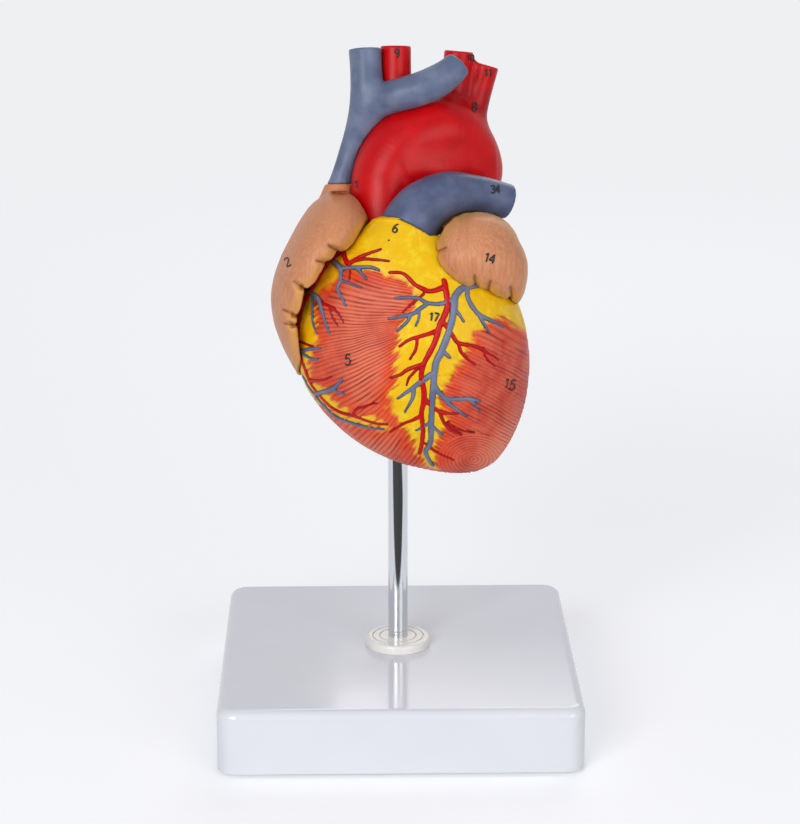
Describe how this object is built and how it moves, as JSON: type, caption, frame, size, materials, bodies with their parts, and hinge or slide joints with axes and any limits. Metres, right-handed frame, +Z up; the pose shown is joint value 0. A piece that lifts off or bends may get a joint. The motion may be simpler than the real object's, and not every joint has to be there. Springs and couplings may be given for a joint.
{
  "type": "human heart anatomy model",
  "caption": "Life-size human heart teaching model on a pole stand; the front wall lifts off to show chambers, valves and papillary muscles.",
  "frame": {"origin": "centre of the square base, on the plane that the rubber feet stand on", "axes": "+Z up along the pole, -Y towards the viewer who sees the front of the heart, +X to that viewer's right"},
  "size_m": [0.13, 0.13, 0.2451],
  "materials": {
    "white_plastic": "glossy moulded white",
    "collar_plastic": "glossy warm white",
    "foot_rubber": "matt black rubber",
    "chromed_steel": "polished chrome",
    "magnet_nickel": "nickel plated",
    "muscle_paint": "hand painted, satin, with red fibre lines and yellow fat",
    "flesh_paint": "hand painted, satin",
    "artery_paint": "hand painted, satin red",
    "vein_paint": "hand painted, satin blue grey",
    "valve_paint": "hand painted, satin cream"
  },
  "bodies": {
    "stand": {"base_shell": "white_plastic", "rubber_feet": "foot_rubber", "pole_collar": "collar_plastic"},
    "pole": {"support_pole": "chromed_steel", "pole_washer": "chromed_steel", "pole_screw": "chromed_steel"},
    "heart": {"pole_socket": "chromed_steel", "rear_ventricle_wall": "muscle_paint", "ventricular_septum": "muscle_paint", "right_atrium": "flesh_paint", "left_atrium": "flesh_paint", "aorta": "artery_paint", "superior_vena_cava": "vein_paint", "inferior_vena_cava": "vein_paint", "right_pulmonary_artery": "vein_paint", "pulmonary_veins": "artery_paint", "tricuspid_valve": "valve_paint", "mitral_valve": "valve_paint", "aortic_valve": "valve_paint", "papillary_muscles": "muscle_paint", "chordae_tendineae": "valve_paint", "rear_coronary_arteries": "artery_paint", "rear_cardiac_veins": "vein_paint", "rear_magnets": "magnet_nickel"},
    "front_wall": {"front_ventricle_wall": "muscle_paint", "pulmonary_trunk": "vein_paint", "pulmonary_valve": "valve_paint", "right_auricle": "flesh_paint", "left_auricle": "flesh_paint", "front_coronary_arteries": "artery_paint", "front_cardiac_veins": "vein_paint", "front_magnets": "magnet_nickel", "locating_pins": "magnet_nickel"}
  },
  "joints": [
    {"name": "heart_swivel", "type": "hinge", "parent": "stand", "child": "pole", "pos_m": [0, 0, 0.028], "axis": [0, 0, 1], "continuous": true},
    {"name": "heart_lift", "type": "slide", "parent": "pole", "child": "heart", "axis": [0, 0, 1], "range_m": [0, 0.045]},
    {"name": "front_wall_pull", "type": "slide", "parent": "heart", "child": "front_wall", "axis": [0, -0.9744, 0.225], "range_m": [0, 0.06]}
  ]
}
